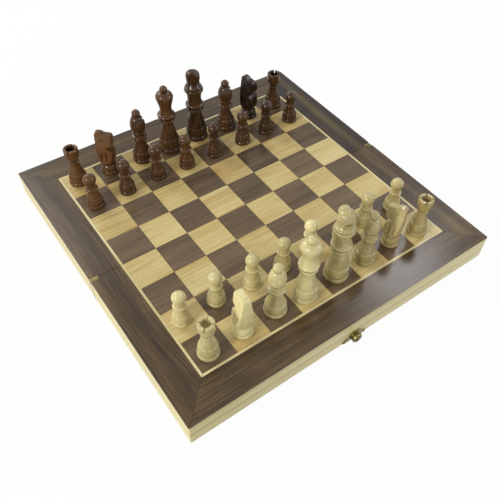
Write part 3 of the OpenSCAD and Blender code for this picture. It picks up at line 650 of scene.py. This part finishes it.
bishopCut = {"width": 0.9, "slope": 44, "middle": 41.5, "past": 0.8, "reach": 12, "side": 10}
kingFlats = {"apart": 9.4, "low": 62.8, "high": 90, "side": 20}
knightCut = {"strokeWidth": 1.5, "strokeDepth": 1.0, "strokes": (-2.7, 1.3), "low": 16.8, "high": 25.6,
             "sides": 24, "mouth": 2, "eyeAt": (-1.3, 38.6), "eyeRadius": 1.2, "eyeOut": 0.1}


# A saw cut from one side of the head down to its middle: a thin block sloped up outwards.
def bishopCutter():
    c = bishopCut
    slope = math.radians(c["slope"])
    turn = [[math.cos(slope), 0, -math.sin(slope)], [0, 1, 0], [math.sin(slope), 0, math.cos(slope)]]
    low, high = (-c["past"], -c["side"], -c["width"] / 2), (c["reach"], c["side"], c["width"] / 2)
    points, faces = block(low, high, turn)
    return meshObject("cutter", points + np.array([0, 0, c["middle"]]), faces)


# A block that leaves one flat on the king's finial.
def flatCutter(side):
    c = kingFlats
    near, far = side * c["apart"] / 2, side * c["side"]
    low, high = (-c["side"], min(near, far), c["low"]), (c["side"], max(near, far), c["high"])
    return meshObject("cutter", *block(low, high))


# Half the thickness of a knight at a height, on its flat sides.
def flatSide(z):
    return np.interp(z, *np.array(knightShape["thickness"]).T[::-1])


# An upright stroke with round ends, cut into a flat side; its floor leans in as the side does.
def strokeCutter(side, y):
    c = knightCut
    count = c["sides"]
    angle = np.linspace(0, 2 * math.pi, count, endpoint=False)
    half = c["strokeWidth"] / 2
    ringY = y + half * np.cos(angle)
    reach = (c["high"] - c["low"]) / 2 - half
    ringZ = (c["low"] + c["high"]) / 2 + half * np.sin(angle) + np.sign(np.sin(angle) + 1e-9) * reach
    wall = flatSide(ringZ)
    floor = np.column_stack([side * (wall - c["strokeDepth"]), ringY, ringZ])
    mouth = np.column_stack([side * (wall + c["mouth"]), ringY, ringZ])
    ring = np.arange(count)
    after = np.roll(ring, -1)
    quads = np.column_stack([ring, after, count + after, count + ring])[:, ::side].tolist()
    ends = [ring.tolist()[::-side], (count + ring).tolist()[::side]]
    return meshObject("cutter", np.vstack([floor, mouth]), quads + ends)


# The eye: a ball that dips into the flat side. Every sixth column is enough for it.
def eyeCutter(side):
    c = knightCut
    y, z = c["eyeAt"]
    a = np.linspace(-math.pi / 2, math.pi / 2, 11)
    profile = np.column_stack([np.cos(a), np.sin(a)]) * c["eyeRadius"]
    points, faces = skin(turned(profile)[:, ::6])
    return meshObject("cutter", points + np.array([side * (flatSide(z) + c["eyeOut"]), y, z]), faces)


# Each kind once, in millimetres round its own axis.
def makeKinds():
    kinds = {}
    for kind, parts in manShapes.items():
        profile = eased(parts)
        grid = rookGrid(profile) if kind == "rook" else turned(profile)
        points, faces = skin(grid)
        piece = meshObject(kind, points, faces)
        if kind == "king":
            piece = carved(piece, [flatCutter(side) for side in (-1, 1)])
        if kind == "bishop":
            piece = carved(piece, [bishopCutter()])
        if kind == "knight":
            headPoints, headFaces = skin(knightGrid())
            head = meshObject("head", headPoints, headFaces)
            piece = carved(piece, [head], "UNION")
            cutters = [strokeCutter(side, y) for side in (-1, 1) for y in knightCut["strokes"]]
            cutters += [eyeCutter(side) for side in (-1, 1)]
            piece = carved(piece, cutters)
        kinds[kind] = piece
    return kinds


# By how many degrees a man is turned on its foot, where that shows: the flats of the kings,
# the cuts of the bishops and the heads of the knights.
turnedBy = {
    "white_king_e1": -14, "black_king_e8": -33, "white_bishop_c1": 50, "white_bishop_f1": 30,
    "black_bishop_c8": -70, "black_bishop_f8": -80, "white_knight_b1": -8, "white_knight_g1": 20,
    "black_knight_b8": -130, "black_knight_g8": -168,
}
# Men that came out of the turning a little shorter than the rest of their kind.
shorter = {
    "white_king_e1": 0.98, "black_king_e8": 0.97, "black_bishop_f8": 0.955, "black_rook_h8": 0.96,
    "white_pawn_d2": 0.96, "white_pawn_h2": 0.94, "white_pawn_g2": 0.965, "black_pawn_h7": 0.93,
    "black_rook_a8": 0.985, "white_pawn_a2": 0.98, "white_pawn_b2": 0.975, "white_knight_g1": 0.94,
    "black_knight_b8": 0.955, "black_knight_g8": 0.965,
}
# The flat sides of the knights: how much paler a painted sheen makes them than the round parts, on which
# share of the thickness they start, and between which heights.
flats = {
    "paintedSheen": {"black_knight_b8": 0.25, "black_knight_g8": 0.0}, "paintedSheenElse": 0.12,
    "start": 0.955, "over": 0.03, "low": 13.5, "high": 45,
}
# Painted shade in the grooves of the men: in notches narrower than widest, from the depth where it
# starts to where it is full, in millimetres, and how much painted shade lies in the hollows of the dark
# rooks.
grooveShading = {"widest": 1.8, "step": 0.1, "start": 0.04, "full": 0.45, "hollowShade": 0.9}
footSlice = 0.0008  # metres of height that count as the lowest points of a man


# The grooves from 0 to 1 by height, which is how much painted shade they take: how far the turned surface
# lies inside its outline once the narrow notches are filled.
def grooves(kind, heights):
    profile = np.vstack([np.array(part, float) for part in manShapes[kind]])
    profile = profile[:profile[:, 1].argmax() + 1]
    climb = profile[np.concatenate([[True], np.diff(profile[:, 1]) >= 0])]
    fine = np.arange(0, climb[:, 1].max(), grooveShading["step"])
    radius = np.interp(fine, climb[:, 1], climb[:, 0])
    count = round(grooveShading["widest"] / grooveShading["step"])
    window = np.lib.stride_tricks.sliding_window_view
    longer = np.concatenate([np.full(count, radius[0]), radius, np.zeros(count)])
    filled = window(window(longer, count + 1).max(1), count + 1).min(1)
    depth = (filled - radius - grooveShading["start"]) / grooveShading["full"]
    return np.interp(heights, fine, np.clip(depth, 0, 1), right=0)


# Shares from 0 to 1 of the points of a knight that lie on its flat sides.
def onFlats(spots):
    share = np.abs(spots[:, 0]) / flatSide(spots[:, 2])
    flat = np.clip((share - flats["start"]) / flats["over"], 0, 1)
    return np.where((spots[:, 2] > flats["low"]) & (spots[:, 2] < flats["high"]), flat, 0)


# The points of a mesh as an array with a row for each.
def spotsOf(mesh):
    spots = np.zeros(len(mesh.vertices) * 3)
    mesh.vertices.foreach_get("co", spots)
    return spots.reshape(-1, 3)


# Middle of a node's lowest points, which is the middle of a man's foot. The middle of its box
# won't do, because a turned knight reaches further to one side.
def footMiddle(piece):
    spots = spotsOf(piece.data)
    low = spots[spots[:, 2] < spots[:, 2].min() + footSlice]
    return (low.min(0) + low.max(0)) / 2


# A copy of the kind's mesh set down where its CAD node stands. Each point is given how dark it is made,
# partly by the man's blank and partly as painted light, shade and sheen, and how much painted shade it takes
# in a groove or hollow.
def setDown(kinds):
    for name in [n for n in nodes if n.startswith(("white_", "black_"))]:
        kind = name.split("_")[1]
        mesh = kinds[kind].data.copy()
        spots = spotsOf(mesh) * 1000
        blankShadeAndLight = np.full(len(spots), float(sum(step for step, names in blankShadesAndLight.values() if name in names)))
        # Painted sheen: the flat sides of a knight are made paler.
        if kind == "knight":
            blankShadeAndLight -= onFlats(spots) * flats["paintedSheen"].get(name, flats["paintedSheenElse"])
        # Painted shade in the grooves.
        shadeDip = grooves(kind, spots[:, 2])
        # Painted shade in the hollow of a dark rook's head.
        if kind == "rook":
            fromAxis = np.hypot(spots[:, 0], spots[:, 1])
            inHollow = (fromAxis < rookCut["hollowRadius"]) & (spots[:, 2] > rookCut["hollowFloor"])
            shadeDip = np.where(inHollow, grooveShading["hollowShade"] if name.startswith("black_") else 0.0, shadeDip)
        for label, values in (("blank", blankShadeAndLight), ("groove", shadeDip)):
            mesh.attributes.new(label, "FLOAT", "POINT").data.foreach_set("value", values)
        across, along, _ = footMiddle(nodes[name])
        place = Matrix.Translation((across, along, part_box(name)[0].z))
        turn = Matrix.Rotation(math.radians(turnedBy.get(name, 0)), 4, "Z")
        mesh.transform(place @ turn @ Matrix.Scale(shorter.get(name, 1.0), 4, (0, 0, 1)))
        mesh.shade_smooth()
        mesh.set_sharp_from_angle(angle=math.radians(turning["sharp"]))
        made = bpy.data.objects.new(name + "_turned", mesh)
        bpy.context.scene.collection.objects.link(made)
        made.data.materials.clear()
        made.data.materials.append(finishFor(name))
        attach(made, name)
        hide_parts(name)


kinds = makeKinds()
setDown(kinds)
for piece in kinds.values():
    bpy.data.objects.remove(piece)
print("men set down")


# The floor lies at the lowest points of the hinges.
studio = {
    "floorTop": -0.0012, "floorSize": 6.0, "floorColour": "#f4f3f0", "cameraWhite": 0.94,
    "worldColour": (0.95, 0.97, 1.0, 1.0), "worldLevel": 0.27,
    "lamps": [
        # from, at, size in metres, power in watts, colour
        ((-1.6, -0.3, 0.85), (-0.05, -0.05, 0.0), 0.45, 20.0, "#fffbf2"),
        ((1.0, -0.85, 0.65), (0.05, 0.0, 0.0), 0.45, 5.5, "#fffdf8"),
        ((-0.35, 1.1, 0.95), (0.0, 0.0, 0.0), 0.7, 9.5, "#fffdf8"),
        ((0.78, 0.3, 1.0), (0.06, -0.133, 0.0), 0.2, 2.0, "#fbfcff"),
    ],
}


# One for rays from the camera and for rays mirrored or let through, for which the backdrop
# is plain white.
def backdropRays(f):
    rays = ("Is Camera Ray", "Is Glossy Ray", "Is Transmission Ray")
    seen, mirrored, through = [f.node("LightPath", output=ray) for ray in rays]
    return seen + mirrored + through


def makeFloor():
    half = studio["floorSize"]
    corners = [(x * half, y * half, studio["floorTop"]) for x, y in ((-1, -1), (1, -1), (1, 1), (-1, 1))]
    mesh = bpy.data.meshes.new("floor")
    mesh.from_pydata(corners, [], [(0, 1, 2, 3)])
    floor = bpy.data.objects.new("floor", mesh)
    bpy.context.scene.collection.objects.link(floor)
    f = Finish("floor")
    diffuse = f.node("BsdfDiffuse", None, {"Color": tone(studio["floorColour"])})
    glow = f.node("Emission", None, {"Color": (1, 1, 1, 1), "Strength": 1.0})
    share = backdropRays(f) * studio["cameraWhite"]
    mixed = f.node("MixShader", None, {0: share, 1: diffuse, 2: glow})
    f.node("OutputMaterial", None, {"Surface": mixed})
    mesh.materials.append(f.owner)


def makeWorld():
    world = bpy.data.worlds.new("studio")
    bpy.context.scene.world = world
    f = Finish("studio", world)
    fill = f.node("Background", None, {"Color": studio["worldColour"], "Strength": studio["worldLevel"]})
    plain = f.node("Background", None, {"Color": (1, 1, 1, 1), "Strength": 1.0})
    mixed = f.node("MixShader", None, {0: backdropRays(f), 1: fill, 2: plain})
    f.node("OutputWorld", None, {"Surface": mixed})


def makeLamps():
    for number, (start, target, size, power, colour) in enumerate(studio["lamps"]):
        lamp = bpy.data.lights.new("softbox%d" % number, "AREA")
        lamp.shape, lamp.size, lamp.energy = "SQUARE", size, power
        lamp.color = tone(colour)[:3]
        holder = bpy.data.objects.new(lamp.name, lamp)
        bpy.context.scene.collection.objects.link(holder)
        holder.location = start
        holder.rotation_mode = "QUATERNION"
        holder.rotation_quaternion = (Vector(target) - Vector(start)).to_track_quat("-Z", "Y")


# Metres and degrees; the focal length is in pixels of a picture this wide.
cameraView = {
    "place": (-0.20805, -0.29762, 0.39125), "azimuth": 38.059, "elevation": 51.190, "roll": 2.743,
    "focal": 580.2, "pictureWidth": 500, "sensor": 36.0, "shift": (-0.03, 0.03), "clip": (0.01, 50),
}


# The camera looks along azimuth (from +Y towards +X) and down by elevation, then rolls.
def makeCamera():
    view = cameraView
    data = bpy.data.cameras.new("camera")
    data.sensor_width = view["sensor"]
    data.lens = view["focal"] / view["pictureWidth"] * view["sensor"]
    data.shift_x, data.shift_y = view["shift"]
    data.clip_start, data.clip_end = view["clip"]
    camera = bpy.data.objects.new("camera", data)
    bpy.context.scene.collection.objects.link(camera)
    a, e, roll = (math.radians(view[k]) for k in ("azimuth", "elevation", "roll"))
    ahead = Vector((math.cos(e) * math.sin(a), math.cos(e) * math.cos(a), -math.sin(e)))
    right = ahead.cross(Vector((0, 0, 1))).normalized()
    up = right.cross(ahead)
    rolled = math.cos(roll) * right + math.sin(roll) * up
    raised = rolled.cross(ahead)
    facing = Matrix((rolled, raised, -ahead)).transposed().to_4x4()
    camera.matrix_world = Matrix.Translation(view["place"]) @ facing
    bpy.context.scene.camera = camera


makeFloor()
makeWorld()
makeLamps()
makeCamera()
bpy.context.scene.view_settings.view_transform = "Standard"
print("studio set")
